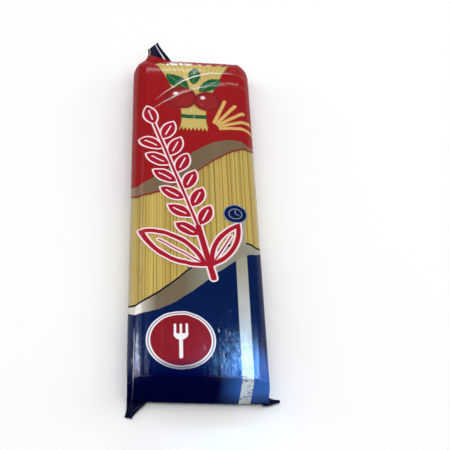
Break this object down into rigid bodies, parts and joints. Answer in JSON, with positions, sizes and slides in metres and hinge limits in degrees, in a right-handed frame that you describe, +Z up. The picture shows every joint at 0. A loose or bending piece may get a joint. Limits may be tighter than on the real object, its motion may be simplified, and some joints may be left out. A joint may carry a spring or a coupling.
{
  "type": "spaghetti packet",
  "caption": "Flow-wrapped packet of long pasta lying on its back: a flat film-sealed bundle with a clear window across the printed front and folded end seals.",
  "frame": {"origin": "centre of the back seam's underside, where the packet rests, midway along the wrapped bundle", "axes": "+Y along the strands towards the end with the raised dog-ear, +X to the right seen from above, +Z up out of the printed front"},
  "size_m": [0.0837, 0.2835, 0.0248],
  "materials": {
    "printed_film": "glossy printed film in red, navy blue and metallic gold with a clear window",
    "strands": "smooth dry pasta, translucent pale yellow",
    "seal_film": "crimped glossy navy blue film with thin white lines"
  },
  "bodies": {
    "root": {"packet": "printed_film"}
  },
  "joints": []
}
